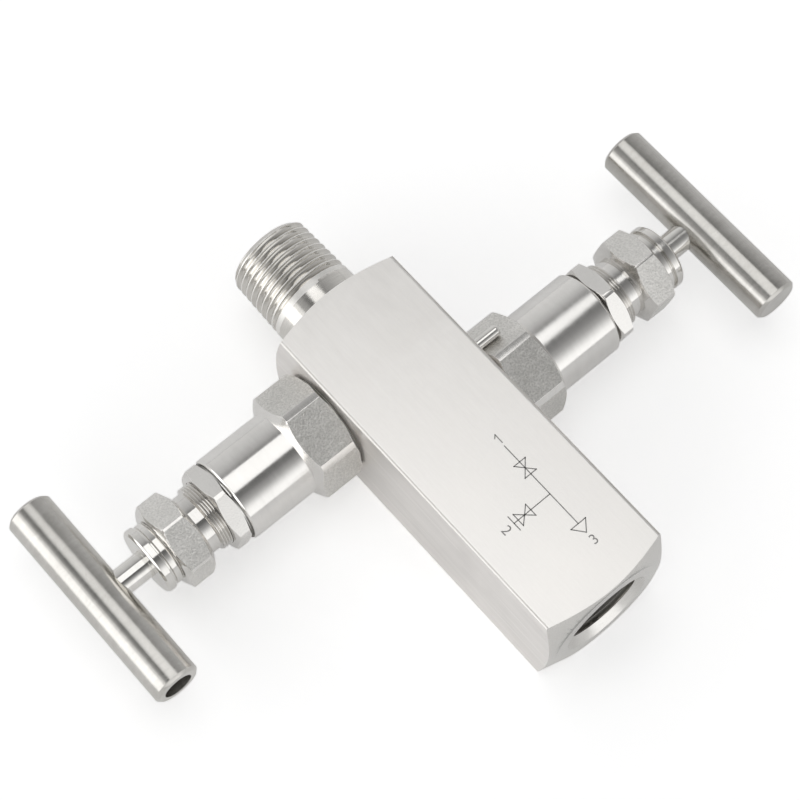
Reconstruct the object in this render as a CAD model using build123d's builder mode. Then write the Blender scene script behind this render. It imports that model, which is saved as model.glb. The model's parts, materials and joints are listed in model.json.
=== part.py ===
"""Two-valve instrument manifold: an isolation valve and a vent valve in one bar-stock block.

Flow runs along +X, from the male taper-threaded inlet to the female outlet. The origin is on the
flow axis at the inlet shoulder. The isolation valve points to -Y, the vent valve to +Y, and the
block rests on its flat underside. Lengths are in millimetres, angles in degrees.
"""

import os
from math import cos, radians, sin, tan

from build123d import *

# Valve block, cut from rectangular bar
block_length = 90.0
block_width = 32.0
block_height = 30.0
block_edge = 0.4  # broken long edges
end_face_diameter = 28.5  # flat face left by turning each end
end_cone_angle = 20.0  # turned ends, measured from the end face

# Process inlet: male taper pipe thread, at its major diameter
spigot_diameter = 21.34
spigot_neck = 4.6
spigot_thread = 17.0
spigot_chamfer = 0.9
pipe_taper = 1 / 16  # on diameter
inlet_bore = 6.4
inlet_countersink = 10.0

# Instrument outlet: female taper pipe thread, at its drilled diameter
outlet_diameter = 18.3
outlet_depth = 20.0
outlet_countersink = 22.0

# Vent port in the underside
vent_port_diameter = 11.2
vent_port_depth = 9.5
vent_port_countersink = 13.6
vent_port_offset = 1.5  # from the flow axis towards the vent valve
vent_port_drill = 2.6
vent_drill_offset = 5.6  # from the flow axis, up into the vent chamber

# Internal flow passages
passage_diameter = 3.6
passage_offset = 6.5  # outlet passage, from the flow axis into the isolation chamber
inlet_overrun = 1.5  # inlet drilling past the isolation seat
seat_diameter = 4.0
seat_level = 4.5  # both seats, from the flow axis
chamber_diameter = 10.0
chamber_depth = 4.0
drill_angle = 118.0

# Where the two valves cross the block
isolation_station = 18.0
vent_station = 36.0

# Bonnet
shank_diameter = 18.0
bonnet_seal = 0.9
seal_bore = 10.4
collar_diameter = 22.8
collar_height = 0.6
bonnet_flats = 24.0
bonnet_corner_diameter = 26.8
bonnet_hex = 11.4
barrel_diameter = 20.8
barrel_length = 16.7
hex_chamfer_angle = 30.0

# Lock pin against the bonnet hexagon
pin_diameter = 2.8
pin_depth = 6.0
pin_height = 6.5
pin_shift = 1.1  # along the flat, from its middle

# Needle tip, which slides but doesn't turn
tip_nose_diameter = 2.4
tip_cone_angle = 60.0  # included
tip_diameter = 6.8
tip_length = 7.4  # seat to stem
tip_shank_diameter = 3.0
tip_shank_length = 4.6

# Stem
stem_diameter = 6.3
stem_thread_diameter = 9.0
stem_thread_length = 6.0
stem_lift = 4.0
stem_headroom = 0.5
web_thickness = 1.5

# Packing chamber, from the web outwards
packing_diameter = 12.0
packing_washer = 1.5
packing_ring = 2.2
packing_ring_count = 3
packing_follower = 2.0

# Gland bolt and its locknut
gland_thread_diameter = 16.0
locknut_flats = 19.0
locknut_corner_diameter = 21.4
locknut_face_diameter = 18.4
locknut_face = 0.4
locknut_hex = 3.9
gland_thread_shown = 2.8
gland_neck_diameter = 14.4
gland_neck = 2.5
gland_flats = 19.0
gland_corner_diameter = 21.6
gland_inner_diameter = 16.2
gland_outer_diameter = 17.6
gland_hex = 7.8

# Dust cap over the gland bolt
cap_diameter = 16.0
cap_collar_diameter = 15.2
cap_groove_diameter = 14.0
cap_seat = 0.3
cap_collar = 1.4
cap_groove = 0.6
cap_disc = 2.1
cap_rim = 0.5  # broken outer rim

# T-bar handle
bar_diameter = 11.0
bar_length = 51.0
bar_edge = 0.7
bar_gap = 6.2  # dust cap to bar
bar_socket = 8.0  # depth of the stem hole
stem_end_gap = 0.2
screw_hole_diameter = 6.8
screw_length = 7.0
screw_key_flats = 4.0
screw_key_depth = 3.5
stem_flat = 0.4

# Clearances on the radius
thread_clearance = 0.05
running_clearance = 0.05
seat_clearance = 0.05
piece_clearance = 0.05
edge_chamfer = 0.4

# Levels along a valve, measured outwards from the flow axis
block_face = block_width / 2
seal_level = seat_level + chamber_depth
bonnet_root = seal_level + bonnet_seal
hex_level = block_face + collar_height
barrel_level = hex_level + bonnet_hex
bonnet_end = barrel_level + barrel_length
stem_root = seat_level + tip_length
stem_thread_end = stem_root + stem_thread_length
web_level = stem_thread_end + stem_lift + stem_headroom
packing_level = web_level + web_thickness
rings_level = packing_level + packing_washer
follower_level = rings_level + packing_ring_count * packing_ring
gland_root = follower_level + packing_follower
locknut_level = bonnet_end + locknut_face
locknut_end = locknut_level + locknut_hex
neck_level = locknut_end + gland_thread_shown
gland_level = neck_level + gland_neck
gland_end = gland_level + gland_hex
cap_level = gland_end + cap_seat
cap_end = cap_level + cap_collar + cap_groove + cap_disc
bar_level = cap_end + bar_gap + bar_diameter / 2
socket_end = bar_level - bar_diameter / 2 + bar_socket
stem_end = socket_end - stem_end_gap

# Radii that pieces share
stem_radius = stem_diameter / 2
stem_hole = stem_radius + running_clearance
gland_thread_radius = gland_thread_diameter / 2
screw_radius = screw_hole_diameter / 2 - thread_clearance
screw_seat = stem_radius - stem_flat

# Side of the block, and where a corner of each hexagon points: degrees from straight up, towards
# the inlet. The pin stands by the flat whose middle is this far round from that corner.
valves = [
    {"name": "isolation", "station": isolation_station, "side": -1, "bonnet_turn": 7.0,
     "locknut_turn": -10.0, "gland_turn": -2.0, "pin_flat": 210.0, "screw_side": 1},
    {"name": "vent", "station": vent_station, "side": 1, "bonnet_turn": 3.0,
     "locknut_turn": -14.0, "gland_turn": -10.0, "pin_flat": 30.0, "screw_side": -1},
]


def valve_axis(valve):
    return Axis((valve["station"], 0, 0), (0, valve["side"], 0))


def axial_plane(valve):
    """Local x runs outwards along the valve and local y is the radius."""
    side = valve["side"]
    return Plane(origin=(valve["station"], 0, 0), x_dir=(0, side, 0), z_dir=(side, 0, 0))


def cross_plane(valve, level, turn=0.0):
    """Local x points up, turned towards the inlet, and local z points outwards."""
    side = valve["side"]
    up = (-sin(radians(turn)), 0, cos(radians(turn)))
    return Plane(origin=(valve["station"], side * level, 0), x_dir=up, z_dir=(0, side, 0))


def bar_plane(valve, offset):
    """Across the handle, with local z towards the end that takes the screw."""
    side = valve["side"]
    origin = (valve["station"] + valve["screw_side"] * offset, side * bar_level, 0)
    return Plane(origin=origin, x_dir=(0, 0, 1), z_dir=(valve["screw_side"], 0, 0))


def finish(part, valve, piece):
    part.label = f"{valve['name']}_{piece}"
    export_step(part, f"parts/{part.label}.step")


def make_hexagon(valve, turn, level, length, flats, corner_diameter, inner_diameter, outer_diameter):
    """A hexagon with turned-off corners and a cone at each end."""
    slope = tan(radians(hex_chamfer_angle))
    corner = corner_diameter / 2
    inner = inner_diameter / 2
    outer = outer_diameter / 2
    end = level + length
    with BuildPart() as hexagon:
        with BuildSketch(cross_plane(valve, level, turn)):
            RegularPolygon(radius=flats / 2, side_count=6, major_radius=False)
        extrude(amount=length)
        with BuildSketch(axial_plane(valve)):
            with BuildLine():
                Polyline((level, 0), (level, inner), (level + (corner - inner) * slope, corner),
                         (end - (corner - outer) * slope, corner), (end, outer), (end, 0), close=True)
            make_face()
        revolve(axis=valve_axis(valve), mode=Mode.INTERSECT)
    return hexagon.part


def make_turning(valve, points):
    """A turned form from (level, radius) points that start and end on the valve's axis."""
    with BuildPart() as turning:
        with BuildSketch(axial_plane(valve)):
            with BuildLine():
                Polyline(*points, close=True)
            make_face()
        revolve(axis=valve_axis(valve))
    return turning.part


def pin_place(valve):
    """Centre of the lock pin in the cross plane of its bonnet hexagon."""
    distance = bonnet_flats / 2 + pin_diameter / 2 + piece_clearance
    angle = radians(-valve["side"] * valve["pin_flat"])
    return (distance * cos(angle) - pin_shift * sin(angle), distance * sin(angle) + pin_shift * cos(angle))


def make_block():
    half_width = block_width / 2
    half_height = block_height / 2
    face_radius = end_face_diameter / 2
    corner_radius = (half_width**2 + half_height**2) ** 0.5
    cone_length = (corner_radius - face_radius) * tan(radians(end_cone_angle))
    neck_radius = spigot_diameter / 2
    tip_radius = neck_radius - spigot_thread * pipe_taper / 2
    tip_end = -spigot_neck - spigot_thread
    outlet_radius = outlet_diameter / 2
    outlet_bevel = outlet_countersink / 2 - outlet_radius
    outlet_floor = block_length - outlet_depth
    inlet_radius = inlet_bore / 2
    inlet_bevel = inlet_countersink / 2 - inlet_radius
    inlet_end = isolation_station + seat_diameter / 2 + inlet_overrun
    point = inlet_radius / tan(radians(drill_angle / 2))
    with BuildPart() as block:
        with BuildSketch(Plane.YZ):
            Rectangle(block_width, block_height)
        extrude(amount=block_length)
        chamfer(block.edges().filter_by(Axis.X), block_edge)
        with BuildSketch(Plane.XZ):
            with BuildLine():
                Polyline((0, 0), (0, face_radius), (cone_length, corner_radius),
                         (block_length - cone_length, corner_radius), (block_length, face_radius),
                         (block_length, 0), close=True)
            make_face()
        revolve(axis=Axis.X, mode=Mode.INTERSECT)
        # Male spigot: a plain neck, then the taper
        with BuildSketch(Plane.XZ):
            with BuildLine():
                Polyline((0, 0), (0, neck_radius), (-spigot_neck, neck_radius),
                         (tip_end + spigot_chamfer, tip_radius), (tip_end, tip_radius - spigot_chamfer),
                         (tip_end, 0), close=True)
            make_face()
        revolve(axis=Axis.X)
        # Inlet drilling as far as the isolation seat
        with BuildSketch(Plane.XZ):
            with BuildLine():
                Polyline((tip_end, 0), (tip_end, inlet_radius + inlet_bevel),
                         (tip_end + inlet_bevel, inlet_radius), (inlet_end, inlet_radius),
                         (inlet_end + point, 0), close=True)
            make_face()
        revolve(axis=Axis.X, mode=Mode.SUBTRACT)
        # Female outlet
        with BuildSketch(Plane.XZ):
            with BuildLine():
                Polyline((outlet_floor, 0), (outlet_floor, outlet_radius),
                         (block_length - outlet_bevel, outlet_radius),
                         (block_length, outlet_countersink / 2), (block_length, 0), close=True)
            make_face()
        revolve(axis=Axis.X, mode=Mode.SUBTRACT)
        # Outlet passage, drilled from the female port to the isolation chamber
        with BuildSketch(Plane.YZ.offset(isolation_station)):
            with Locations((-passage_offset, 0)):
                Circle(passage_diameter / 2)
        extrude(amount=outlet_floor - isolation_station, mode=Mode.SUBTRACT)
        # Seat holes: the isolation seat opens to the inlet, the vent seat to the outlet passage
        for valve, reach in zip(valves, (0, passage_offset)):
            with BuildSketch(cross_plane(valve, -reach)):
                Circle(seat_diameter / 2)
            extrude(amount=seat_level + reach, mode=Mode.SUBTRACT)
            # Valve chamber and bonnet thread
            chamber_radius = chamber_diameter / 2
            thread_radius = shank_diameter / 2 + thread_clearance
            with BuildSketch(axial_plane(valve)):
                with BuildLine():
                    Polyline((seat_level, 0), (seat_level, chamber_radius), (seal_level, chamber_radius),
                             (seal_level, thread_radius), (block_face - edge_chamfer, thread_radius),
                             (block_face, thread_radius + edge_chamfer), (block_face, 0), close=True)
                make_face()
            revolve(axis=valve_axis(valve), mode=Mode.SUBTRACT)
            # Blind hole for the lock pin
            with BuildSketch(cross_plane(valve, block_face, valve["bonnet_turn"])):
                with Locations(pin_place(valve)):
                    Circle(pin_diameter / 2 + piece_clearance)
            extrude(amount=-pin_depth, mode=Mode.SUBTRACT)
        # Vent port from below, and its drilling up to the vent chamber
        port_radius = vent_port_diameter / 2
        port_bevel = vent_port_countersink / 2 - port_radius
        floor = -half_height
        with BuildSketch(Plane.XY.offset(floor)):
            with Locations((vent_station, vent_port_offset)):
                Circle(port_radius)
        extrude(amount=vent_port_depth, mode=Mode.SUBTRACT)
        with BuildSketch(Plane.XY.offset(floor)):
            with Locations((vent_station, vent_port_offset)):
                Circle(port_radius + port_bevel)
        extrude(amount=port_bevel, taper=45, mode=Mode.SUBTRACT)
        with BuildSketch(Plane.XY.offset(floor + vent_port_depth)):
            with Locations((vent_station, vent_drill_offset)):
                Circle(vent_port_drill / 2)
        extrude(amount=half_height - vent_port_depth, mode=Mode.SUBTRACT)
    block.part.label = "valve_block"
    export_step(block.part, "parts/valve_block.step")


def make_bonnet(valve):
    shank_radius = shank_diameter / 2
    collar_radius = collar_diameter / 2
    barrel_radius = barrel_diameter / 2
    inner_diameter = bonnet_flats + edge_chamfer
    hexagon = make_hexagon(valve, valve["bonnet_turn"], hex_level, bonnet_hex, bonnet_flats,
                           bonnet_corner_diameter, inner_diameter, barrel_diameter)
    outside = make_turning(valve, [
        (bonnet_root, 0), (bonnet_root, shank_radius), (block_face, shank_radius),
        (block_face, collar_radius), (hex_level, collar_radius), (hex_level, barrel_radius),
        (bonnet_end - edge_chamfer, barrel_radius), (bonnet_end, barrel_radius - edge_chamfer),
        (bonnet_end, 0)])
    guide = stem_thread_diameter / 2 + running_clearance
    chamber = packing_diameter / 2
    thread = gland_thread_radius + thread_clearance
    inside = make_turning(valve, [
        (bonnet_root, 0), (bonnet_root, guide), (web_level, guide), (web_level, stem_hole),
        (packing_level, stem_hole), (packing_level, chamber), (gland_root, chamber),
        (gland_root, thread), (bonnet_end, thread), (bonnet_end, 0)])
    with BuildPart() as bonnet:
        add(hexagon)
        add(outside)
        add(inside, mode=Mode.SUBTRACT)
    finish(bonnet.part, valve, "bonnet")


def make_bonnet_seal(valve):
    with BuildPart() as seal:
        with BuildSketch(cross_plane(valve, seal_level)):
            Circle(shank_diameter / 2 - edge_chamfer)
            Circle(seal_bore / 2, mode=Mode.SUBTRACT)
        extrude(amount=bonnet_seal)
    finish(seal.part, valve, "bonnet_seal")


def make_lock_pin(valve):
    radius = pin_diameter / 2
    with BuildPart() as pin:
        with BuildSketch(cross_plane(valve, block_face - pin_depth, valve["bonnet_turn"])):
            with Locations(pin_place(valve)):
                Circle(radius)
        extrude(amount=pin_depth + pin_height)
        outer = pin.edges().sort_by(Axis((0, 0, 0), (0, valve["side"], 0)))[-1]
        chamfer(outer, edge_chamfer)
    finish(pin.part, valve, "lock_pin")


def make_locknut(valve):
    face_radius = locknut_face_diameter / 2
    hexagon = make_hexagon(valve, valve["locknut_turn"], locknut_level, locknut_hex, locknut_flats,
                           locknut_corner_diameter, locknut_flats, locknut_flats)
    with BuildPart() as nut:
        add(hexagon)
        with BuildSketch(cross_plane(valve, bonnet_end)):
            Circle(face_radius)
        extrude(amount=locknut_face)
        with BuildSketch(cross_plane(valve, bonnet_end)):
            Circle(gland_thread_radius + thread_clearance)
        extrude(amount=locknut_face + locknut_hex, mode=Mode.SUBTRACT)
    finish(nut.part, valve, "locknut")


def make_gland_bolt(valve):
    neck_radius = gland_neck_diameter / 2
    hexagon = make_hexagon(valve, valve["gland_turn"], gland_level, gland_hex, gland_flats,
                           gland_corner_diameter, gland_inner_diameter, gland_outer_diameter)
    shank = make_turning(valve, [
        (gland_root, 0), (gland_root, gland_thread_radius),
        (neck_level - edge_chamfer, gland_thread_radius), (neck_level, neck_radius),
        (gland_level, neck_radius), (gland_level, 0)])
    with BuildPart() as bolt:
        add(hexagon)
        add(shank)
        with BuildSketch(cross_plane(valve, gland_root)):
            Circle(stem_hole)
        extrude(amount=gland_end - gland_root, mode=Mode.SUBTRACT)
    finish(bolt.part, valve, "gland_bolt")


def make_dust_cap(valve):
    seat_radius = cap_groove_diameter / 2
    collar_radius = cap_collar_diameter / 2
    disc_radius = cap_diameter / 2
    groove_level = cap_level + cap_collar
    disc_level = groove_level + cap_groove
    with BuildPart() as cap:
        add(make_turning(valve, [
            (gland_end, 0), (gland_end, seat_radius), (cap_level, seat_radius),
            (cap_level, collar_radius), (groove_level, collar_radius), (groove_level, seat_radius),
            (disc_level, seat_radius), (disc_level, disc_radius), (cap_end - cap_rim, disc_radius),
            (cap_end, disc_radius - cap_rim), (cap_end, 0)]))
        with BuildSketch(cross_plane(valve, gland_end)):
            Circle(stem_hole)
        extrude(amount=cap_end - gland_end, mode=Mode.SUBTRACT)
    finish(cap.part, valve, "dust_cap")


def make_ring(valve, start, end):
    """A ring that fills the packing chamber round the stem."""
    with BuildPart() as ring:
        with BuildSketch(cross_plane(valve, start)):
            Circle(packing_diameter / 2 - piece_clearance)
            Circle(stem_hole, mode=Mode.SUBTRACT)
        extrude(amount=end - start)
    return ring.part


def make_packing(valve):
    finish(make_ring(valve, packing_level, rings_level), valve, "packing_washer")
    finish(make_ring(valve, follower_level, gland_root), valve, "packing_follower")
    with BuildPart() as rings:
        for place in range(packing_ring_count):
            start = rings_level + place * packing_ring
            add(make_ring(valve, start, start + packing_ring - piece_clearance))
    finish(rings.part, valve, "packing_rings")


def make_needle_tip(valve):
    slope = tan(radians(tip_cone_angle / 2))
    nose_radius = tip_nose_diameter / 2
    tip_radius = tip_diameter / 2
    seat_radius = seat_diameter / 2 - seat_clearance
    nose_level = seat_level - (seat_radius - nose_radius) / slope
    cone_end = seat_level + (tip_radius - seat_radius) / slope
    shoulder = stem_root - piece_clearance
    shank_radius = tip_shank_diameter / 2
    shank_end = shoulder + tip_shank_length
    with BuildPart() as tip:
        add(make_turning(valve, [
            (nose_level, 0), (nose_level, nose_radius), (cone_end, tip_radius),
            (shoulder, tip_radius), (shoulder, shank_radius), (shank_end, shank_radius),
            (shank_end, 0)]))
    finish(tip.part, valve, "needle_tip")


def make_stem(valve):
    thread_radius = stem_thread_diameter / 2
    bore_radius = tip_shank_diameter / 2 + running_clearance
    bore_end = stem_root + tip_shank_length + edge_chamfer
    flat_start = bar_level - screw_radius - edge_chamfer
    flat_middle = (flat_start + stem_end) / 2
    with BuildPart() as stem:
        add(make_turning(valve, [
            (stem_root, 0), (stem_root, thread_radius), (stem_thread_end, thread_radius),
            (stem_thread_end, stem_radius), (stem_end, stem_radius), (stem_end, 0)]))
        with BuildSketch(cross_plane(valve, stem_root)):
            Circle(bore_radius)
        extrude(amount=bore_end - stem_root, mode=Mode.SUBTRACT)
        # Flat that the handle screw bears on
        with BuildSketch(bar_plane(valve, screw_seat)):
            with Locations((0, valve["screw_side"] * valve["side"] * (bar_level - flat_middle))):
                Rectangle(stem_diameter, stem_end - flat_start)
        extrude(amount=stem_diameter, mode=Mode.SUBTRACT)
    finish(stem.part, valve, "stem")


def make_handle(valve):
    half_length = bar_length / 2
    with BuildPart() as bar:
        with BuildSketch(bar_plane(valve, -half_length)):
            Circle(bar_diameter / 2)
        extrude(amount=bar_length)
        chamfer(bar.edges().filter_by(GeomType.CIRCLE), bar_edge)
        with BuildSketch(cross_plane(valve, bar_level - bar_diameter / 2)):
            Circle(stem_radius + piece_clearance)
        extrude(amount=bar_socket, mode=Mode.SUBTRACT)
        with BuildSketch(bar_plane(valve, 0)):
            Circle(screw_hole_diameter / 2)
        extrude(amount=half_length, mode=Mode.SUBTRACT)
    finish(bar.part, valve, "handle_bar")

    with BuildPart() as screw:
        with BuildSketch(bar_plane(valve, screw_seat)):
            Circle(screw_radius)
        extrude(amount=screw_length)
        with BuildSketch(bar_plane(valve, screw_seat + screw_length)):
            RegularPolygon(radius=screw_key_flats / 2, side_count=6, major_radius=False)
        extrude(amount=-screw_key_depth, mode=Mode.SUBTRACT)
    finish(screw.part, valve, "handle_screw")


os.makedirs("parts", exist_ok=True)
make_block()
for valve in valves:
    make_bonnet(valve)
    make_bonnet_seal(valve)
    make_lock_pin(valve)
    make_locknut(valve)
    make_gland_bolt(valve)
    make_dust_cap(valve)
    make_packing(valve)
    make_needle_tip(valve)
    make_stem(valve)
    make_handle(valve)
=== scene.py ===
# Dresses the two-valve instrument manifold: cut threads, broken edges, milled, turned and
# polished stainless steel, and the flow scheme marked on top. Lengths are in metres.
import json
import math
import bmesh
import bpy
from mathutils import Matrix, Vector


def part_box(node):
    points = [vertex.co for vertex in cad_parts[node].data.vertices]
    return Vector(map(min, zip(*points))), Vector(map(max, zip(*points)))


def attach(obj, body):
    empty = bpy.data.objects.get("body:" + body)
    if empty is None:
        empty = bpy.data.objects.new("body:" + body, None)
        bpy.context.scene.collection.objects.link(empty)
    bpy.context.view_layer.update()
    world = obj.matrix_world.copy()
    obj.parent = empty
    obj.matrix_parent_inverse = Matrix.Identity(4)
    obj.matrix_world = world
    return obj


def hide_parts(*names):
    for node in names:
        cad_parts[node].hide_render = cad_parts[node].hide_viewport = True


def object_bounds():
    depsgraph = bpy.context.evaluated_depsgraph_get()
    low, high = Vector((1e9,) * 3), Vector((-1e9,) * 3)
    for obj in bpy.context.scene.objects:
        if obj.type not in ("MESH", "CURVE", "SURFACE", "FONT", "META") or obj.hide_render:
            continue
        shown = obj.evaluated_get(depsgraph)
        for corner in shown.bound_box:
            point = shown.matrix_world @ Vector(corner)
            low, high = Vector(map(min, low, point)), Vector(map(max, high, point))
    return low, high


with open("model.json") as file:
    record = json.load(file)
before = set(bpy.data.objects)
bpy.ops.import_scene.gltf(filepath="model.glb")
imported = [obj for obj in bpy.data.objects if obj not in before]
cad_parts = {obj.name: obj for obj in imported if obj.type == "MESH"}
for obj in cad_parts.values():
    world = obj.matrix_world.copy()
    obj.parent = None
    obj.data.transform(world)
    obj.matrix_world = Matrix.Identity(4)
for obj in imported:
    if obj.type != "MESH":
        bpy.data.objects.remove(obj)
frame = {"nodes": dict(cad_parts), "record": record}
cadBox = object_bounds()
scene = bpy.context.scene
mm = 0.001

behaviour = frame["record"]["behaviour"]
bodyOf = {node: body for body, nodes in behaviour["bodies"].items() for node in nodes}
stationOf = {joint["child"]: joint["pos_m"][0] for joint in behaviour["joints"] if "pos_m" in joint}
valves = {
    "isolation": {"side": -1, "station": stationOf["isolation_spindle"]},
    "vent": {"side": 1, "station": stationOf["vent_spindle"]},
}
print("frame loaded:", len(frame["nodes"]), "nodes")


def newGroup(name, inputs, outputs):
    group = bpy.data.node_groups.new(name, "ShaderNodeTree")
    for label, kind, value in inputs:
        socket = group.interface.new_socket(label, in_out="INPUT", socket_type=kind)
        socket.default_value = value
    for label, kind in outputs:
        group.interface.new_socket(label, in_out="OUTPUT", socket_type=kind)
    return group, group.nodes.new("NodeGroupInput"), group.nodes.new("NodeGroupOutput")


def addNode(tree, kind, settings=None, **values):
    node = tree.nodes.new(kind)
    for key, value in (settings or {}).items():
        setattr(node, key, value)
    for label, value in values.items():
        node.inputs[label.replace("_", " ")].default_value = value
    return node


def mathNode(tree, operation, first, second):
    node = addNode(tree, "ShaderNodeMath", {"operation": operation})
    for socket, value in zip(node.inputs, (first, second)):
        if isinstance(value, (int, float)):
            socket.default_value = value
        else:
            tree.links.new(value, socket)
    return node.outputs[0]


def brushGroup():  # fine parallel marks: a noise stretched along the tool's travel
    group, inside, outside = newGroup("brushMarks", [
        ("Vector", "NodeSocketVector", (0, 0, 0)), ("Stretch", "NodeSocketVector", (1, 1, 1)),
        ("Depth", "NodeSocketFloat", 1.0)], [("Height", "NodeSocketFloat"), ("Tone", "NodeSocketFloat")])
    scaled = addNode(group, "ShaderNodeVectorMath", {"operation": "MULTIPLY"})
    fine = addNode(group, "ShaderNodeTexNoise", Scale=1.0, Detail=5.0, Roughness=0.7)
    coarse = addNode(group, "ShaderNodeTexNoise", Scale=0.22, Detail=3.0, Roughness=0.6)
    group.links.new(inside.outputs["Vector"], scaled.inputs[0])
    group.links.new(inside.outputs["Stretch"], scaled.inputs[1])
    group.links.new(scaled.outputs[0], fine.inputs["Vector"])
    group.links.new(scaled.outputs[0], coarse.inputs["Vector"])
    height = mathNode(group, "MULTIPLY", fine.outputs["Fac"], inside.outputs["Depth"])
    group.links.new(height, outside.inputs["Height"])
    tone = mathNode(group, "ADD", mathNode(group, "MULTIPLY", fine.outputs["Fac"], 0.5),
                    mathNode(group, "MULTIPLY", coarse.outputs["Fac"], 0.5))
    group.links.new(tone, outside.inputs["Tone"])
    return group


def grainGroup():  # the dull, slightly pitted skin of drawn hexagon bar
    group, inside, outside = newGroup("barGrain", [
        ("Vector", "NodeSocketVector", (0, 0, 0)), ("Scale", "NodeSocketFloat", 1.0),
        ("Depth", "NodeSocketFloat", 1.0)], [("Height", "NodeSocketFloat"), ("Tone", "NodeSocketFloat")])
    fine = addNode(group, "ShaderNodeTexNoise", Detail=4.0, Roughness=0.65)
    pits = addNode(group, "ShaderNodeTexVoronoi", {"feature": "SMOOTH_F1"}, Smoothness=0.6)
    for texture in (fine, pits):
        group.links.new(inside.outputs["Vector"], texture.inputs["Vector"])
        group.links.new(inside.outputs["Scale"], texture.inputs["Scale"])
    both = mathNode(group, "ADD", mathNode(group, "MULTIPLY", fine.outputs["Fac"], 0.65),
                    mathNode(group, "MULTIPLY", pits.outputs["Distance"], 0.35))
    group.links.new(mathNode(group, "MULTIPLY", both, inside.outputs["Depth"]), outside.inputs["Height"])
    group.links.new(both, outside.inputs["Tone"])
    return group


def smudgeGroup():  # slow changes of tone from handling and uneven finishing
    group, inside, outside = newGroup("smudges", [
        ("Vector", "NodeSocketVector", (0, 0, 0)), ("Scale", "NodeSocketFloat", 1.0)],
        [("Tone", "NodeSocketFloat")])
    cloud = addNode(group, "ShaderNodeTexNoise", Detail=3.0, Roughness=0.5, Distortion=0.4)
    group.links.new(inside.outputs["Vector"], cloud.inputs["Vector"])
    group.links.new(inside.outputs["Scale"], cloud.inputs["Scale"])
    group.links.new(cloud.outputs["Fac"], outside.inputs["Tone"])
    return group


def scratchGroup():  # a few long, light scratches left by moving stock over the bench
    group, inside, outside = newGroup("scratches", [
        ("Vector", "NodeSocketVector", (0, 0, 0)), ("Stretch", "NodeSocketVector", (1, 1, 1)),
        ("Strength", "NodeSocketFloat", 1.0)], [("Tone", "NodeSocketFloat")])
    scaled = addNode(group, "ShaderNodeVectorMath", {"operation": "MULTIPLY"})
    lines = addNode(group, "ShaderNodeTexNoise", Scale=1.0, Detail=2.0, Roughness=0.6)
    patches = addNode(group, "ShaderNodeTexNoise", Scale=55.0, Detail=2.0)
    group.links.new(inside.outputs["Vector"], scaled.inputs[0])
    group.links.new(inside.outputs["Stretch"], scaled.inputs[1])
    group.links.new(scaled.outputs[0], lines.inputs["Vector"])
    group.links.new(inside.outputs["Vector"], patches.inputs["Vector"])
    picked = []
    for texture, start, end in ((lines, 0.58, 0.72), (patches, 0.45, 0.62)):
        span = addNode(group, "ShaderNodeMapRange", From_Min=start, From_Max=end)
        group.links.new(texture.outputs["Fac"], span.inputs["Value"])
        picked.append(span.outputs["Result"])
    tone = mathNode(group, "MULTIPLY", mathNode(group, "MULTIPLY", *picked), inside.outputs["Strength"])
    group.links.new(tone, outside.inputs["Tone"])
    return group


groups = {"brush": brushGroup(), "grain": grainGroup(), "smudge": smudgeGroup(), "scratch": scratchGroup()}


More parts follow.
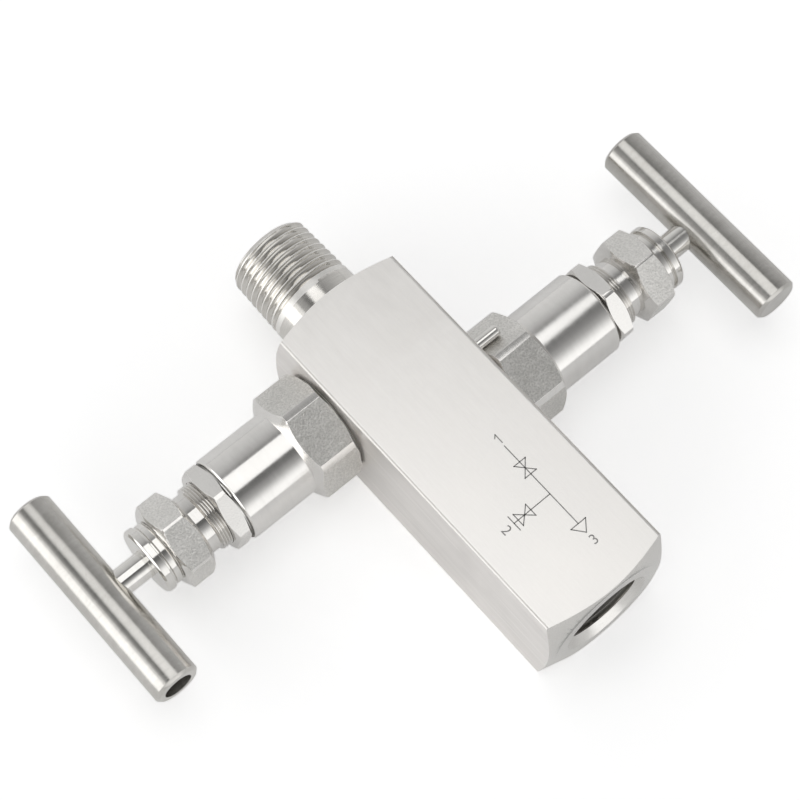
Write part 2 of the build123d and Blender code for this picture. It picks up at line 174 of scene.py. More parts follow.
steelFinishes = {  # tones, low and high roughness, marks by stretch or grain, their depth in mm, smudge scale
    "milledTop": {"light": (0.975, 0.955, 0.925), "dark": (0.865, 0.845, 0.815), "rough": (0.29, 0.39),
                  "brush": (300, 2600, 300), "depth": 0.004, "smudge": 70, "share": 0.45},
    "milledSide": {"light": (0.98, 0.955, 0.93), "dark": (0.84, 0.815, 0.79), "rough": (0.29, 0.41),
                   "brush": (120, 2600, 2600), "depth": 0.012, "smudge": 60, "share": 0.5,
                   "scratches": (10, 400, 900), "scratchTone": 0.5, "rolled": 0.9},
    "beltedEdge": {"light": (0.93, 0.91, 0.885), "dark": (0.84, 0.82, 0.79), "rough": (0.50, 0.62),
                   "brush": (160, 2600, 2600), "depth": 0.010, "smudge": 60, "share": 0.5},
    "turnedEnd": {"light": (0.84, 0.825, 0.795), "dark": (0.74, 0.725, 0.695), "rough": (0.17, 0.26),
                  "grain": 2600, "depth": 0.006, "smudge": 60, "share": 0.5},
    "turnedNeck": {"light": (0.88, 0.86, 0.82), "dark": (0.70, 0.68, 0.645), "rough": (0.12, 0.20),
                   "brush": (3000, 300, 300), "depth": 0.003, "smudge": 120, "share": 0.5},
    # painted highlight: the crests' lighter tone stands in for the glint of their broken edges; they are also
    # rougher
    "threadCrestPaintedGlint": {"light": (0.97, 0.955, 0.925), "dark": (0.88, 0.865, 0.835), "rough": (0.38, 0.50),
                    "grain": 2600, "depth": 0.004, "smudge": 120, "share": 0.5},
    "threadFlank": {"light": (0.80, 0.78, 0.74), "dark": (0.64, 0.62, 0.585), "rough": (0.09, 0.17),
                    "brush": (3000, 300, 300), "depth": 0.002, "smudge": 120, "share": 0.5},
    # painted shade: the darker tone inside bores and ports stands in for the shadow in the recess
    "paintedBoreShade": {"light": (0.60, 0.585, 0.56), "dark": (0.40, 0.39, 0.37), "rough": (0.30, 0.42),
                  "brush": (3000, 500, 500), "depth": 0.010, "smudge": 100, "share": 0.5},
    "turnedBarrel": {"light": (0.87, 0.855, 0.83), "dark": (0.78, 0.765, 0.74), "rough": (0.12, 0.20),
                     "brush": (420, 3600, 420), "depth": 0.003, "smudge": 90, "share": 0.5,
                     "turnedAbout": "Y", "spread": 0.6},
    "turnedGland": {"light": (0.84, 0.825, 0.80), "dark": (0.70, 0.685, 0.66), "rough": (0.07, 0.13),
                    "brush": (420, 3600, 420), "depth": 0.003, "smudge": 90, "share": 0.5,
                    "turnedAbout": "Y", "spread": 0.4},
    "barFlat": {"light": (0.86, 0.845, 0.815), "dark": (0.60, 0.59, 0.56), "rough": (0.29, 0.40),
                "grain": 2300, "depth": 0.150, "smudge": 140, "share": 0.75},
    "nutFlat": {"light": (0.95, 0.935, 0.905), "dark": (0.87, 0.855, 0.83), "rough": (0.17, 0.25),
                "grain": 2800, "depth": 0.010, "smudge": 140, "share": 0.5},
    "glandFlat": {"light": (0.94, 0.925, 0.895), "dark": (0.72, 0.71, 0.68), "rough": (0.32, 0.44),
                  "grain": 2300, "depth": 0.150, "smudge": 140, "share": 0.75},
    "polishedBar": {"light": (0.68, 0.665, 0.635), "dark": (0.54, 0.525, 0.495), "rough": (0.19, 0.26),
                    "brush": (1500, 500, 500), "depth": 0.005, "smudge": 80, "share": 0.6,
                    "turnedAbout": "X", "spread": 0.6},
    "polishedStem": {"light": (0.86, 0.845, 0.815), "dark": (0.75, 0.735, 0.705), "rough": (0.08, 0.14),
                     "brush": (400, 3600, 400), "depth": 0.004, "smudge": 150, "share": 0.5,
                     "turnedAbout": "Y", "spread": 0.5},
    # painted shade: the dark steel laid on narrow gaps between parts stands in for their shadow
    "paintedGapShade": {"light": (0.34, 0.33, 0.31), "dark": (0.18, 0.175, 0.165), "rough": (0.34, 0.46),
                 "grain": 1500, "depth": 0.010, "smudge": 150, "share": 0.5},
    "groundTip": {"light": (0.66, 0.65, 0.64), "dark": (0.52, 0.51, 0.50), "rough": (0.18, 0.26),
                  "brush": (400, 3600, 400), "depth": 0.004, "smudge": 150, "share": 0.5},
    "sealRing": {"light": (0.78, 0.77, 0.75), "dark": (0.66, 0.65, 0.63), "rough": (0.32, 0.44),
                 "grain": 2600, "depth": 0.010, "smudge": 150, "share": 0.5},
}


markSpans = {"tint": (0.36, 0.62), "rough": (0.35, 0.65)}  # mark tones that reach both ends of a finish
edgeRoll = {"start": 11.4 * mm, "end": 15 * mm, "from": 42 * mm, "full": 86 * mm}  # up the side, and along it


def rolledEdge(tree, place, depth):  # the belt dips over the long top corners, more towards the female end
    apart = tree.nodes.new("ShaderNodeSeparateXYZ")
    tree.links.new(place, apart.inputs[0])
    parts = []
    for axis, low, high in (("Z", "start", "end"), ("X", "from", "full")):
        span = addNode(tree, "ShaderNodeMapRange", From_Min=edgeRoll[low], From_Max=edgeRoll[high])
        tree.links.new(apart.outputs[axis], span.inputs["Value"])
        parts.append(span.outputs["Result"])
    dip = mathNode(tree, "MULTIPLY", mathNode(tree, "POWER", parts[0], 2), parts[1])
    return mathNode(tree, "MULTIPLY", dip, -depth)


def steel(name):  # brushed, turned or drawn stainless steel
    finish = steelFinishes[name]
    material = bpy.data.materials.new(name)
    material.use_nodes = True
    tree = material.node_tree
    shader = tree.nodes["Principled BSDF"]
    shader.inputs["Metallic"].default_value = 1.0
    place = tree.nodes.new("ShaderNodeTexCoord").outputs["Object"]
    marks = tree.nodes.new("ShaderNodeGroup")
    if "brush" in finish:
        marks.node_tree = groups["brush"]
        marks.inputs["Stretch"].default_value = finish["brush"]
    else:
        marks.node_tree = groups["grain"]
        marks.inputs["Scale"].default_value = finish["grain"]
    smudge = tree.nodes.new("ShaderNodeGroup")
    smudge.node_tree = groups["smudge"]
    smudge.inputs["Scale"].default_value = finish["smudge"]
    tree.links.new(place, marks.inputs["Vector"])
    tree.links.new(place, smudge.inputs["Vector"])
    share = finish["share"]
    mixed = mathNode(tree, "ADD", mathNode(tree, "MULTIPLY", marks.outputs["Tone"], share),
                     mathNode(tree, "MULTIPLY", smudge.outputs["Tone"], 1 - share))
    toned = mixed
    if "scratches" in finish:
        lines = tree.nodes.new("ShaderNodeGroup")
        lines.node_tree = groups["scratch"]
        lines.inputs["Stretch"].default_value = finish["scratches"]
        lines.inputs["Strength"].default_value = finish["scratchTone"]
        tree.links.new(place, lines.inputs["Vector"])
        toned = mathNode(tree, "ADD", mixed, lines.outputs["Tone"])
    tint = tree.nodes.new("ShaderNodeValToRGB")
    for end, position, tone in zip(tint.color_ramp.elements, markSpans["tint"], ("dark", "light")):
        end.position = position
        end.color = (*finish[tone], 1)
    tree.links.new(toned, tint.inputs["Fac"])
    tree.links.new(tint.outputs["Color"], shader.inputs["Base Color"])
    span = addNode(tree, "ShaderNodeMapRange")
    ends = (*markSpans["rough"], *finish["rough"])
    for label, value in zip(("From Min", "From Max", "To Min", "To Max"), ends):
        span.inputs[label].default_value = value
    tree.links.new(mixed, span.inputs["Value"])
    tree.links.new(span.outputs["Result"], shader.inputs["Roughness"])
    bump = addNode(tree, "ShaderNodeBump", Strength=1.0, Distance=mm)
    marks.inputs["Depth"].default_value = finish["depth"]
    height = marks.outputs["Height"]
    if "rolled" in finish:
        height = mathNode(tree, "ADD", height, rolledEdge(tree, place, finish["rolled"]))
    tree.links.new(height, bump.inputs["Height"])
    tree.links.new(bump.outputs["Normal"], shader.inputs["Normal"])
    if "turnedAbout" in finish:  # tool marks run round the axis and spread a highlight along it
        axis = finish["turnedAbout"]
        around = addNode(tree, "ShaderNodeTangent", {"direction_type": "RADIAL", "axis": axis})
        tree.links.new(around.outputs[0], shader.inputs["Tangent"])
        shader.inputs["Anisotropic"].default_value = finish["spread"]
        shader.inputs["Anisotropic Rotation"].default_value = 0.25  # a quarter turn, across the marks
    return material


plainFinishes = {  # tones, grain scale, its depth in mm, roughness and metal
    "blackScrew": {"light": (0.16, 0.158, 0.15), "dark": (0.05, 0.05, 0.048), "grain": 1400, "depth": 0.01,
                   "rough": 0.42, "metal": 0.8},
    "packing": {"light": (0.90, 0.90, 0.88), "dark": (0.82, 0.82, 0.80), "grain": 900, "depth": 0.01,
                "rough": 0.55, "metal": 0.0},
    "marking": {"light": (0.36, 0.35, 0.34), "dark": (0.24, 0.235, 0.23), "grain": 6000, "depth": 0.01,
                "rough": 0.6, "metal": 0.3},
}


def plainSurface(name):  # blacked screws, white packing and the dark laser marking
    finish = plainFinishes[name]
    material = bpy.data.materials.new(name)
    material.use_nodes = True
    tree = material.node_tree
    shader = tree.nodes["Principled BSDF"]
    shader.inputs["Metallic"].default_value = finish["metal"]
    shader.inputs["Roughness"].default_value = finish["rough"]
    place = tree.nodes.new("ShaderNodeTexCoord").outputs["Object"]
    marks = tree.nodes.new("ShaderNodeGroup")
    marks.node_tree = groups["grain"]
    marks.inputs["Scale"].default_value = finish["grain"]
    marks.inputs["Depth"].default_value = finish["depth"]
    tree.links.new(place, marks.inputs["Vector"])
    tint = tree.nodes.new("ShaderNodeValToRGB")
    for end, position, tone in zip(tint.color_ramp.elements, (0.3, 0.7), ("dark", "light")):
        end.position = position
        end.color = (*finish[tone], 1)
    tree.links.new(marks.outputs["Tone"], tint.inputs["Fac"])
    tree.links.new(tint.outputs["Color"], shader.inputs["Base Color"])
    bump = addNode(tree, "ShaderNodeBump", Strength=1.0, Distance=mm)
    tree.links.new(marks.outputs["Height"], bump.inputs["Height"])
    tree.links.new(bump.outputs["Normal"], shader.inputs["Normal"])
    return material


materials = {name: steel(name) for name in steelFinishes}
materials.update({name: plainSurface(name) for name in plainFinishes})
print("materials made:", len(materials))


meshLimits = {  # weld and sliver lengths, and the angles in degrees that tell flats and corners
    "weld": 0.0005 * mm, "flat": 0.4, "bevelFrom": 24, "sharpFrom": 22, "cutWeld": 0.012 * mm,
    "sliver": 0.003 * mm,
}


def camelName(node):
    first, *rest = node.split("_")
    return first + "".join(word.capitalize() for word in rest)


def copyNode(node):  # the node's form as one welded skin, flat areas as single faces
    mesh = frame["nodes"][node].data.copy()
    skin = bmesh.new()
    skin.from_mesh(mesh)
    flat = math.radians(meshLimits["flat"])
    bmesh.ops.remove_doubles(skin, verts=skin.verts, dist=meshLimits["weld"])
    bmesh.ops.dissolve_limit(skin, angle_limit=flat, verts=skin.verts, edges=skin.edges)
    skin.to_mesh(mesh)
    skin.free()
    mesh.materials.clear()
    if "custom_normal" in mesh.attributes:
        mesh.attributes.remove(mesh.attributes["custom_normal"])
    piece = bpy.data.objects.new(camelName(node), mesh)
    scene.collection.objects.link(piece)
    return piece


def addBevel(piece, width):
    bevel = piece.modifiers.new("brokenEdge", "BEVEL")
    bevel.width = width
    bevel.segments = 2
    bevel.limit_method = "ANGLE"
    bevel.angle_limit = math.radians(meshLimits["bevelFrom"])
    bevel.use_clamp_overlap = True
    bevel.miter_outer = "MITER_ARC"


def applyAll(piece):  # bakes the modifiers into the mesh
    graph = bpy.context.evaluated_depsgraph_get()
    graph.update()
    mesh = bpy.data.meshes.new_from_object(piece.evaluated_get(graph))
    piece.modifiers.clear()
    piece.data = mesh


def smoothOver(piece):
    for face in piece.data.polygons:
        face.use_smooth = True
    piece.data.set_sharp_from_angle(angle=math.radians(meshLimits["sharpFrom"]))
    weighted = piece.modifiers.new("weightedNormal", "WEIGHTED_NORMAL")
    weighted.keep_sharp = True


def stand(piece, node):
    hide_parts(node)
    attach(piece, bodyOf[node])


def threadCutter(thread):  # a closed helical wedge whose section is the groove between two crests
    origin, axis = Vector(thread["origin"]), Vector(thread["axis"])
    across = Vector((0, 0, 1))
    beside = axis.cross(across)
    pitch, depth, outward = thread["pitch"], thread["depth"], thread["outward"]
    perTurn, arc = thread["perTurn"], thread["arc"]
    section = [(-thread["half"] * pitch - thread["proud"] / 2, depth + thread["proud"])]  # shift and rise
    for index in range(arc + 1):
        share = 2 * index / arc - 1
        section.append((share * thread["half"] * pitch, depth * abs(share) ** thread["curve"]))
    section.append((thread["half"] * pitch + thread["proud"] / 2, depth + thread["proud"]))
    steps = int((thread["end"] - thread["start"]) / pitch * perTurn)
    skin = bmesh.new()
    rings = []
    for step in range(steps + 1):
        turn = 2 * math.pi * step / perTurn
        along = thread["start"] + pitch * step / perTurn
        crest = thread["radius"] + thread["slope"] * (along - thread["gauge"])
        left = (steps - step if thread["runOutEnd"] else step) / perTurn / thread["runOut"]
        sunk = depth * min(1.0, left) - thread["lift"]
        radial = across * math.cos(turn) + beside * math.sin(turn)
        ring = []
        for shift, rise in section:
            radius = crest - outward * (sunk - rise)
            ring.append(skin.verts.new(origin + axis * (along + shift) + radial * radius))
        rings.append(ring)
    for low, high in zip(rings, rings[1:]):
        for side in range(len(section)):
            after = (side + 1) % len(section)
            skin.faces.new((low[side], low[after], high[after], high[side]))
    skin.faces.new(rings[0][::-1])
    skin.faces.new(rings[-1])
    bmesh.ops.recalc_face_normals(skin, faces=skin.faces)
    mesh = bpy.data.meshes.new("cutter")
    skin.to_mesh(mesh)
    skin.free()
    cutter = bpy.data.objects.new("cutter", mesh)
    scene.collection.objects.link(cutter)
    return cutter


def cutThreads(piece, threads):
    cutters = [threadCutter(thread) for thread in threads]
    for cutter in cutters:
        cut = piece.modifiers.new("thread", "BOOLEAN")
        cut.operation = "DIFFERENCE"
        cut.solver = "EXACT"
        cut.object = cutter
    applyAll(piece)
    for cutter in cutters:
        bpy.data.objects.remove(cutter, do_unlink=True)
    skin = bmesh.new()
    skin.from_mesh(piece.data)
    bmesh.ops.remove_doubles(skin, verts=skin.verts, dist=meshLimits["cutWeld"])
    bmesh.ops.dissolve_degenerate(skin, dist=meshLimits["sliver"], edges=skin.edges)
    skin.to_mesh(piece.data)
    skin.free()


blockLow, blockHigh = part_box("valve_block")
blockSizes = {
    "edge": 0.10 * mm, "softEdge": 0.45 * mm, "neck": 4.6 * mm, "inletRadius": 10.67 * mm, "taper": 1 / 32,
    "outletRadius": 9.15 * mm, "outletDepth": 19.0 * mm, "ventRadius": 5.6 * mm, "ventDepth": 9.0 * mm,
    "pitch": 25.4 / 14 * mm, "ventPitch": 25.4 / 18 * mm,
}
blockGrooves = {  # depths, half-widths, starts and ends in pitches; how round a groove is; run-out in turns
    "inletDepth": 0.38, "inletHalf": 0.44, "inletArc": 8, "inletStart": 0.3, "inletPast": 1.5,
    "outletDepth": 0.56, "ventDepth": 0.62, "femaleHalf": 0.36, "femaleArc": 2, "femaleStart": -1.2,
    "curve": 1.6, "perTurn": 96, "ventPerTurn": 64, "runOut": 1.2, "proud": 0.03 * mm, "lift": 0.001 * mm,
}
longCorners = {"along": 0.9, "length": 30 * mm, "angle": 20, "segments": 3}
faceLimits = {  # how a face of the block must lie and point to count as one finish or another
    "flat": 0.9, "upright": 0.995, "slant": 0.1, "mouthSlant": 0.3, "topNear": 0.05 * mm,
    "sideNear": 0.3 * mm, "spigotFrom": -0.01 * mm, "boreMouth": 5.4 * mm, "neckPast": 0.5 * mm,
    "crestNear": 0.08 * mm, "mouthRadius": 11.2 * mm, "mouthDepth": 2 * mm, "sideWall": 0.2 * mm,
    "topWall": 0.3 * mm, "innerFrom": 5 * mm, "innerTo": 80 * mm,
}


def softenLongEdges(block, width):  # the belt rounds the long corners over more than the rest
    skin = bmesh.new()
    skin.from_mesh(block.data)
    corners = []
    for edge in skin.edges:
        low, high = edge.verts
        length = edge.calc_length()
        along = abs(high.co.x - low.co.x) > longCorners["along"] * length
        sharp = edge.calc_face_angle(0) > math.radians(longCorners["angle"])
        if along and sharp and length > longCorners["length"]:
            corners.append(edge)
    bmesh.ops.bevel(skin, geom=corners, offset=width, segments=longCorners["segments"], profile=0.5,
                    affect="EDGES")
    skin.to_mesh(block.data)
    skin.free()
    print("long corners softened:", len(corners))


def blockThreads():  # the grooves of the male inlet, the female outlet and the vent port
    size, groove = blockSizes, blockGrooves
    pitch, ventPitch = size["pitch"], size["ventPitch"]
    port = next(mount["pos_m"] for mount in frame["record"]["mounts"] if mount["name"] == "vent_port")
    inlet = {
        "origin": (0, 0, 0), "axis": (-1, 0, 0), "outward": 1, "pitch": pitch,
        "start": size["neck"] + groove["inletStart"] * pitch,
        "end": groove["inletPast"] * pitch - blockLow[0],
        "radius": size["inletRadius"], "gauge": size["neck"], "slope": -size["taper"],
        "depth": groove["inletDepth"] * pitch, "half": groove["inletHalf"], "arc": groove["inletArc"],
        "curve": groove["curve"], "proud": groove["proud"],
        "lift": groove["lift"], "perTurn": groove["perTurn"], "runOut": groove["runOut"], "runOutEnd": False,
    }
    outlet = dict(
        inlet, origin=(blockHigh[0], 0, 0), outward=-1, start=groove["femaleStart"] * pitch,
        end=size["outletDepth"], radius=size["outletRadius"], gauge=0, slope=0,
        depth=groove["outletDepth"] * pitch, half=groove["femaleHalf"], arc=groove["femaleArc"],
        runOutEnd=True)
    vent = dict(
        outlet, origin=(port[0], port[1], blockLow[2]), axis=(0, 0, 1), pitch=ventPitch,
        start=groove["femaleStart"] * ventPitch, end=size["ventDepth"], radius=size["ventRadius"],
        depth=groove["ventDepth"] * ventPitch, perTurn=groove["ventPerTurn"])
    return [inlet, outlet, vent]


def spigotFinish(along, slope, spread):  # bore, end, plain neck, or the thread's crests and flanks
    limit = faceLimits
    crest = blockSizes["inletRadius"] + blockSizes["taper"] * (along + blockSizes["neck"])
    # inside the bore: the darker tone of painted shade
    if spread < limit["boreMouth"]:
        return "paintedBoreShade"
    if slope > limit["flat"]:
        return "turnedEnd"
    if along > -blockSizes["neck"] - limit["neckPast"]:
        return "turnedNeck"
    # crests take the lighter tone, a painted glint
    return "threadCrestPaintedGlint" if abs(spread - crest) < limit["crestNear"] else "threadFlank"


def blockFinish(centre, normal):
    limit = faceLimits
    side, top = blockHigh[1], blockHigh[2]
    spread = math.hypot(centre.y, centre.z)
    slope, lean, tilt = abs(normal.x), abs(normal.y), abs(normal.z)
    inMouth = spread < limit["mouthRadius"]
    if inMouth and slope > limit["mouthSlant"] and centre.x > blockHigh[0] - limit["mouthDepth"]:
        return "turnedEnd"
    if tilt > limit["flat"] and abs(abs(centre.z) - top) < limit["topNear"]:
        return "milledTop"
    if lean > limit["upright"] and abs(abs(centre.y) - side) < limit["sideNear"]:
        return "milledSide"
    if lean > limit["slant"] and tilt > limit["slant"] and centre.x > 0 and spread > side:
        return "turnedEnd" if slope > limit["slant"] else "beltedEdge"
    if centre.x < limit["spigotFrom"]:
        return spigotFinish(centre.x, slope, spread)
    inside = abs(centre.y) < side - limit["sideWall"] and abs(centre.z) < top - limit["topWall"]
    # mouths and inner passages get the darker tone of painted shade
    if inMouth or inside and limit["innerFrom"] < centre.x < limit["innerTo"]:
        return "paintedBoreShade"
    return "turnedEnd"


def makeBlock():
    block = copyNode("valve_block")
    softenLongEdges(block, blockSizes["softEdge"])
    addBevel(block, blockSizes["edge"])
    applyAll(block)
    cutThreads(block, blockThreads())
    order = ("milledTop", "milledSide", "beltedEdge", "turnedEnd", "turnedNeck", "threadCrestPaintedGlint",
             "threadFlank", "paintedBoreShade")
    for name in order:
        block.data.materials.append(materials[name])
    for face in block.data.polygons:
        face.material_index = order.index(blockFinish(face.center, face.normal))
    smoothOver(block)
    stand(block, "valve_block")


makeBlock()
print("valve block dressed")


headLooks = {  # broken edge in mm, the finish of round faces and that of the large flats
    "bonnet": {"edge": 0.18, "turned": "turnedBarrel", "flat": "barFlat"},
    "locknut": {"edge": 0.10, "turned": "turnedBarrel", "flat": "nutFlat"},
    "gland_bolt": {"edge": 0.12, "turned": "turnedGland", "flat": "glandFlat"},
    "dust_cap": {"edge": 0.12, "turned": "polishedStem", "flat": "polishedStem"},
    "lock_pin": {"edge": 0.30, "turned": "polishedStem", "flat": "polishedStem"},
    "stem": {"edge": 0.08, "turned": "polishedStem", "flat": "polishedStem"},
    "handle_bar": {"edge": 0.15, "turned": "polishedBar", "flat": "polishedBar"},
    "handle_screw": {"edge": 0.06, "turned": "blackScrew", "flat": "blackScrew"},
}
innerLooks = {"bonnet_seal": "sealRing", "packing_washer": "turnedBarrel", "packing_follower": "turnedBarrel",
              "packing_rings": "packing", "needle_tip": "groundTip"}
flatArea = 20 * mm * mm  # the smallest flat of a hexagon
glandThread = {  # lead-in, depth and half-width in pitches; length past the locknut; run-out in turns
    "radius": 8.0 * mm, "pitch": 0.65 * mm, "past": 3.2 * mm, "leadIn": 3, "deep": 0.6, "half": 0.40,
    "arc": 2, "curve": 1, "perTurn": 72, "runOut": 0.3, "proud": 0.02 * mm, "lift": 0.001 * mm,
}


def reach(node):  # how far from the centre line a piece of a valve starts and ends
    return sorted(abs(corner[1]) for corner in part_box(node))


barrelEnd = reach("isolation_bonnet")[1]
nutStart = reach("isolation_locknut")[0]
gapShadeLevels = {  # levels along the valve where a narrow gap gets painted shade, a dark steel standing in for the gap's shadow
    "bonnet": ((blockHigh[1] - 0.1 * mm, blockHigh[1] + 0.58 * mm), (barrelEnd - 0.01 * mm, barrelEnd + mm)),
    "locknut": ((nutStart - mm, nutStart + 0.01 * mm),),
}


def cutGland(skin, valve):  # the fine thread that shows between the locknut and the gland bolt's hexagon
    look = glandThread
    start = reach(f"{valve}_locknut")[1]
    cutThreads(skin, [{
        "origin": (valves[valve]["station"], 0, 0), "axis": (0, valves[valve]["side"], 0), "outward": 1,
        "pitch": look["pitch"], "start": start - look["leadIn"] * look["pitch"], "end": start + look["past"],
        "radius": look["radius"], "gauge": 0, "slope": 0, "depth": look["deep"] * look["pitch"],
        "half": look["half"], "arc": look["arc"], "curve": look["curve"], "proud": look["proud"],
        "lift": look["lift"], "perTurn": look["perTurn"], "runOut": look["runOut"], "runOutEnd": True,
    }])


def dressHead(valve, piece, look):
    node = f"{valve}_{piece}"
    skin = copyNode(node)
    addBevel(skin, look["edge"] * mm)
    applyAll(skin)
    if piece == "gland_bolt":
        cutGland(skin, valve)
    for name in (look["turned"], look["flat"], "paintedGapShade"):
        skin.data.materials.append(materials[name])
    for face in skin.data.polygons:
        level = abs(face.center.y)
        # faces in a gap band get the painted shade, dark steel standing in for the gap's shadow
        if any(low < level < high for low, high in gapShadeLevels.get(piece, ())):
            face.material_index = 2
        elif abs(face.normal.y) < 0.05 and face.area > flatArea:
            face.material_index = 1
        else:
            face.material_index = 0
    smoothOver(skin)
    stand(skin, node)


for valve in valves:
    for piece, look in headLooks.items():
        dressHead(valve, piece, look)
    for piece, finish in innerLooks.items():
        data = frame["nodes"][f"{valve}_{piece}"].data
        data.materials.clear()
        data.materials.append(materials[finish])
    print("dressed valve:", valve)


scheme = {  # laser-marked lines, in millimetres from the inlet shoulder and the centre line
    "lineWidth": 0.24, "raise": 0.012, "sink": 0.02, "labelHeight": 2.3, "capShare": 0.7, "thinBy": 0.004,
    "mainLevel": 4.45, "mainStart": 51.7, "arrowBase": 74.6, "arrowTip": 77.1, "arrowHalf": 2.05,
    "valveHalf": (1.75, 1.6), "isolationMark": 58.2, "branch": 65.9, "ventMark": -2.7, "ventEnd": -5.6,
    "ventBarHalf": 1.9,
    "figureOne": ((49.15, 4.0), (48.5, 4.65), (50.8, 4.65)),
    "labels": {"2": ((66.0, -7.9), 0), "3": ((79.3, 4.6), 90)},
}


def schemeStrokes():  # main line, arrow head, branch, its closing bar, the figure 1 and two valve signs
    look = scheme
    level, branch, base = look["mainLevel"], look["branch"], look["arrowBase"]
    low, high = level - look["arrowHalf"], level + look["arrowHalf"]
    barStart, barEnd = branch - look["ventBarHalf"], branch + look["ventBarHalf"]
    strokes = [[(look["mainStart"], level), (base, level)],
               [(base, low), (base, high), (look["arrowTip"], level), (base, low)],
               [(branch, level), (branch, look["ventEnd"])],
               [(barStart, look["ventEnd"]), (barEnd, look["ventEnd"])],
               look["figureOne"]]
    along, across = look["valveHalf"]
    bowTie = ((-along, -across), (along, across), (along, -across), (-along, across), (-along, -across))
    for centre, turned in (((look["isolationMark"], level), False), ((branch, look["ventMark"]), True)):
        loop = []
        for x, y in bowTie:
            x, y = (y, x) if turned else (x, y)
            loop.append((centre[0] + x, centre[1] + y))
        strokes.append(loop)
    return strokes


def addStroke(skin, start, end):  # one marked line as a shallow bar with square ends
    start, end = Vector((*start, 0)) * mm, Vector((*end, 0)) * mm
    along = (end - start).normalized() * scheme["lineWidth"] / 2 * mm
    across = Vector((-along.y, along.x, 0))
    top = Vector((0, 0, blockHigh[2]))
    low, high = -scheme["sink"] * mm, scheme["raise"] * mm
    corners = [start - along - across, end + along - across, end + along + across, start - along + across]
    verts = [skin.verts.new(top + corner + Vector((0, 0, z))) for z in (low, high) for corner in corners]
    for face in ((3, 2, 1, 0), (4, 5, 6, 7), (0, 1, 5, 4), (1, 2, 6, 5), (2, 3, 7, 6), (3, 0, 4, 7)):
        skin.faces.new([verts[index] for index in face])


def addLabel(skin, text, place, turn):  # a plain figure, cut from a font and laid flat on the top
    curve = bpy.data.curves.new("label", "FONT")
    curve.body = text
    curve.size = scheme["labelHeight"] / scheme["capShare"] * mm
    curve.align_x = curve.align_y = "CENTER"
    curve.extrude = (scheme["sink"] + scheme["raise"]) / 2 * mm
    curve.offset = -scheme["thinBy"] * curve.size
    letter = bpy.data.objects.new("label", curve)
    scene.collection.objects.link(letter)
    bpy.context.view_layer.update()
    graph = bpy.context.evaluated_depsgraph_get()
    mesh = bpy.data.meshes.new_from_object(letter.evaluated_get(graph))
    middle = blockHigh[2] + (scheme["raise"] - scheme["sink"]) / 2 * mm
    mesh.transform(Matrix.Translation((place[0] * mm, place[1] * mm, middle))
                   @ Matrix.Rotation(math.radians(turn), 4, "Z"))
    skin.from_mesh(mesh)
    bpy.data.objects.remove(letter, do_unlink=True)


def makeScheme():
    skin = bmesh.new()
    for stroke in schemeStrokes():
        for start, end in zip(stroke, stroke[1:]):
            addStroke(skin, start, end)
    for text, (place, turn) in scheme["labels"].items():
        addLabel(skin, text, place, turn)
    mesh = bpy.data.meshes.new("flowScheme")
    skin.to_mesh(mesh)
    skin.free()
    mesh.materials.clear()
    mesh.materials.append(materials["marking"])
    marks = bpy.data.objects.new("flowScheme", mesh)
    scene.collection.objects.link(marks)
    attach(marks, bodyOf["valve_block"])


makeScheme()
print("flow scheme marked")


floorLook = {  # paper as it lights the metal, and paler with a glow as it is seen behind the object
    "paper": 0.88, "seenPaper": 1.0, "seenGlow": (0.29, 0.48), "across": 0.15, "farGlow": 0.55,
    "farFrom": 0.17, "farFull": 0.32, "mirroredGlow": 0.11, "size": 8.0, "drop": 0.02 * mm,
}


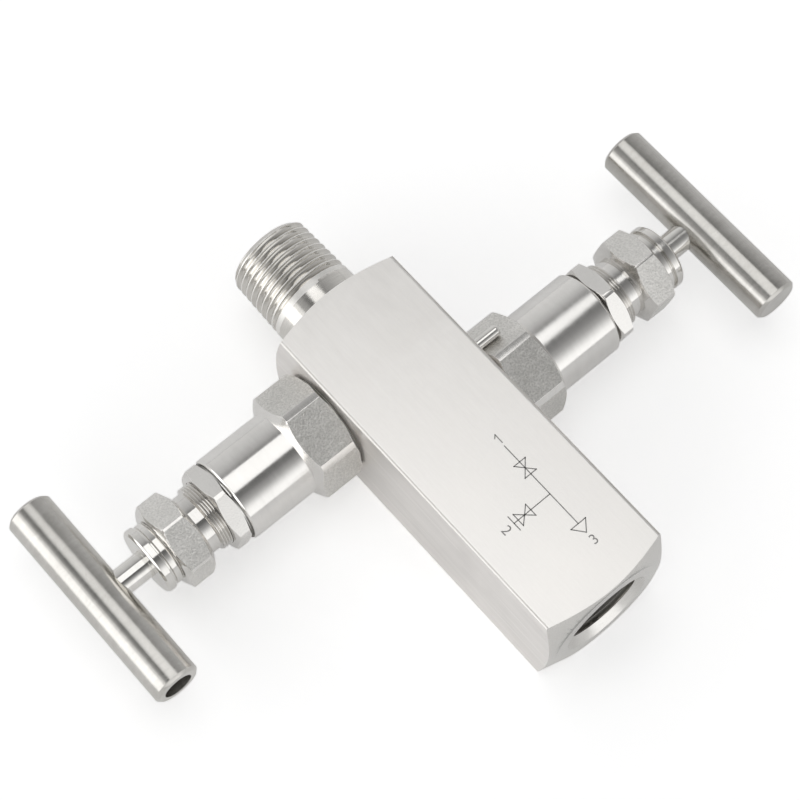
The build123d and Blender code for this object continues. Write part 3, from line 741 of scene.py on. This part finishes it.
def makeFloor():
    mesh = bpy.data.meshes.new("floor")
    half = floorLook["size"] / 2
    level = cadBox[0][2] - floorLook["drop"]
    corners = [(-half, -half, level), (half, -half, level), (half, half, level), (-half, half, level)]
    mesh.from_pydata(corners, [], [(0, 1, 2, 3)])
    floor = bpy.data.objects.new("floor", mesh)
    scene.collection.objects.link(floor)
    material = bpy.data.materials.new("floorPaper")
    material.use_nodes = True
    tree = material.node_tree
    tree.nodes.clear()
    path = tree.nodes.new("ShaderNodeLightPath")
    mirrored = mathNode(tree, "MAXIMUM", path.outputs["Is Glossy Ray"], path.outputs["Is Transmission Ray"])
    paper = addNode(tree, "ShaderNodeBsdfDiffuse", Color=(*[floorLook["paper"]] * 3, 1))
    seenPaper = addNode(tree, "ShaderNodeBsdfDiffuse", Color=(*[floorLook["seenPaper"]] * 3, 1))
    chosen = tree.nodes.new("ShaderNodeMixShader")
    glow = addNode(tree, "ShaderNodeEmission", Color=(1, 1, 1, 1))
    both = tree.nodes.new("ShaderNodeAddShader")
    out = tree.nodes.new("ShaderNodeOutputMaterial")
    tree.links.new(path.outputs["Is Camera Ray"], chosen.inputs["Fac"])
    tree.links.new(paper.outputs[0], chosen.inputs[1])
    tree.links.new(seenPaper.outputs[0], chosen.inputs[2])
    place = tree.nodes.new("ShaderNodeTexCoord").outputs["Object"]
    apart = tree.nodes.new("ShaderNodeSeparateXYZ")
    reach = addNode(tree, "ShaderNodeVectorMath", {"operation": "LENGTH"})
    tree.links.new(place, apart.inputs[0])
    tree.links.new(place, reach.inputs[0])
    far = addNode(tree, "ShaderNodeMapRange", From_Min=floorLook["farFrom"], From_Max=floorLook["farFull"],
                  To_Min=0.0, To_Max=floorLook["farGlow"])
    tree.links.new(reach.outputs["Value"], far.inputs["Value"])
    seen = addNode(tree, "ShaderNodeMapRange", From_Min=-floorLook["across"], From_Max=floorLook["across"],
                   To_Min=floorLook["seenGlow"][0], To_Max=floorLook["seenGlow"][1])
    tree.links.new(apart.outputs["Y"], seen.inputs["Value"])
    seenGlow = mathNode(tree, "ADD", seen.outputs[0], far.outputs[0])
    straight = mathNode(tree, "MULTIPLY", path.outputs["Is Camera Ray"], seenGlow)
    reflected = mathNode(tree, "MULTIPLY", mirrored, floorLook["mirroredGlow"])
    strength = mathNode(tree, "ADD", straight, reflected)
    tree.links.new(strength, glow.inputs["Strength"])
    tree.links.new(chosen.outputs[0], both.inputs[0])
    tree.links.new(glow.outputs[0], both.inputs[1])
    tree.links.new(both.outputs[0], out.inputs["Surface"])
    mesh.materials.append(material)


lamps = {  # where each softbox stands, which way it shines, width, depth and brightness
    "overhead": {"at": (-0.060, 0.022, 1.15), "toward": (0, 0, -1), "size": (0.99, 1.03), "level": 1.10,
                 "round": True},
    "isolationSide": {"at": (-0.04, -0.346, 0.099), "toward": (0, 1, 0), "size": (0.60, 0.222),
                      "level": 1.12},
    "isolationFade": {"at": (-0.04, -0.346, 0.265), "toward": (0, 1, 0), "size": (0.60, 0.11), "level": 0.50},
}


def makeLamps():
    for name, lamp in lamps.items():
        light = bpy.data.lights.new(name, "AREA")
        light.shape = "ELLIPSE" if lamp.get("round") else "RECTANGLE"
        light.size, light.size_y = lamp["size"]
        filled = math.pi / 4 if lamp.get("round") else 1
        light.energy = lamp["level"] * math.pi * light.size * light.size_y * filled
        shown = bpy.data.objects.new(name, light)
        shown.location = lamp["at"]
        shown.rotation_euler = Vector(lamp["toward"]).to_track_quat("-Z", "Y").to_euler()
        shown.visible_camera = False
        scene.collection.objects.link(shown)


studio = {  # the room's brightness by height of view, and what each side adds by how squarely it is seen
    "heights": ((0.0, 0.42), (0.15, 0.38), (0.40, 0.33), (0.70, 0.24), (0.92, 0.13)),
    "femaleSide": ("X", 1, ((0.55, 0.0), (0.71, 0.11), (0.80, 0.27), (0.87, 0.53), (0.92, 0.76),
                            (0.96, 0.80))),
    "inletSide": ("X", -1, ((0.30, 0.0), (0.60, 0.21), (0.75, 0.28), (1.0, 0.28))),
    "isolationSide": ("Y", -1, ((0.38, 0.0), (0.50, 0.13), (1.0, 0.20))),
    "ventSide": ("Y", 1, ((0.15, 0.0), (0.50, 0.11), (1.0, 0.18))),
}


def levelRamp(tree, driver, stops, smooth=False):  # a brightness that follows one part of the view direction
    ramp = tree.nodes.new("ShaderNodeValToRGB")
    ramp.color_ramp.interpolation = "EASE" if smooth else "LINEAR"
    marks = ramp.color_ramp.elements
    while len(marks) < len(stops):
        marks.new(1.0)
    for mark, (position, level) in zip(marks, stops):
        mark.position = position
        mark.color = (level, level, level, 1)
    tree.links.new(driver, ramp.inputs["Fac"])
    return ramp.outputs["Color"]


def makeWorld():
    world = bpy.data.worlds.new("studio")
    scene.world = world
    world.use_nodes = True
    tree = world.node_tree
    way = tree.nodes.new("ShaderNodeSeparateXYZ")
    tree.links.new(tree.nodes.new("ShaderNodeTexCoord").outputs["Generated"], way.inputs[0])
    total = levelRamp(tree, way.outputs["Z"], studio["heights"], smooth=True)
    for side in ("femaleSide", "inletSide", "isolationSide", "ventSide"):
        axis, sign, stops = studio[side]
        facing = mathNode(tree, "MULTIPLY", way.outputs[axis], sign)
        total = mathNode(tree, "ADD", total, levelRamp(tree, facing, stops))
    back = tree.nodes["Background"]
    tree.links.new(total, back.inputs["Color"])
    back.inputs["Strength"].default_value = 1.0
    white = addNode(tree, "ShaderNodeBackground", Color=(1, 1, 1, 1))  # beyond the floor, seen straight on
    shown = tree.nodes.new("ShaderNodeMixShader")
    seen = tree.nodes.new("ShaderNodeLightPath").outputs["Is Camera Ray"]
    for source, socket in ((seen, shown.inputs[0]), (back.outputs[0], shown.inputs[1]),
                           (white.outputs[0], shown.inputs[2])):
        tree.links.new(source, socket)
    tree.links.new(shown.outputs[0], tree.nodes["World Output"].inputs["Surface"])


cameraView = {"azimuth": -42.545, "elevation": 66.836, "roll": 1.692, "lens": 109.87, "distance": 0.53278,
              "aim": (0.02475, -0.00095, 0.0)}


def makeCamera():
    azimuth, elevation, roll = (math.radians(cameraView[key]) for key in ("azimuth", "elevation", "roll"))
    back = Vector((math.cos(elevation) * math.cos(azimuth), math.cos(elevation) * math.sin(azimuth),
                   math.sin(elevation)))
    right = Vector((0, 0, 1)).cross(back).normalized()
    up = back.cross(right)
    tilted = right * math.cos(roll) + up * math.sin(roll)
    upright = up * math.cos(roll) - right * math.sin(roll)
    lens = bpy.data.cameras.new("camera")
    lens.lens = cameraView["lens"]
    lens.sensor_width = 36
    lens.clip_start = 0.01
    camera = bpy.data.objects.new("camera", lens)
    turned = Matrix((tilted, upright, back)).transposed().to_4x4()
    turned.translation = Vector(cameraView["aim"]) + back * cameraView["distance"]
    camera.matrix_world = turned
    scene.collection.objects.link(camera)
    scene.camera = camera


makeFloor()
makeLamps()
makeWorld()
makeCamera()
scene.view_settings.view_transform = "Standard"
print("stage set")
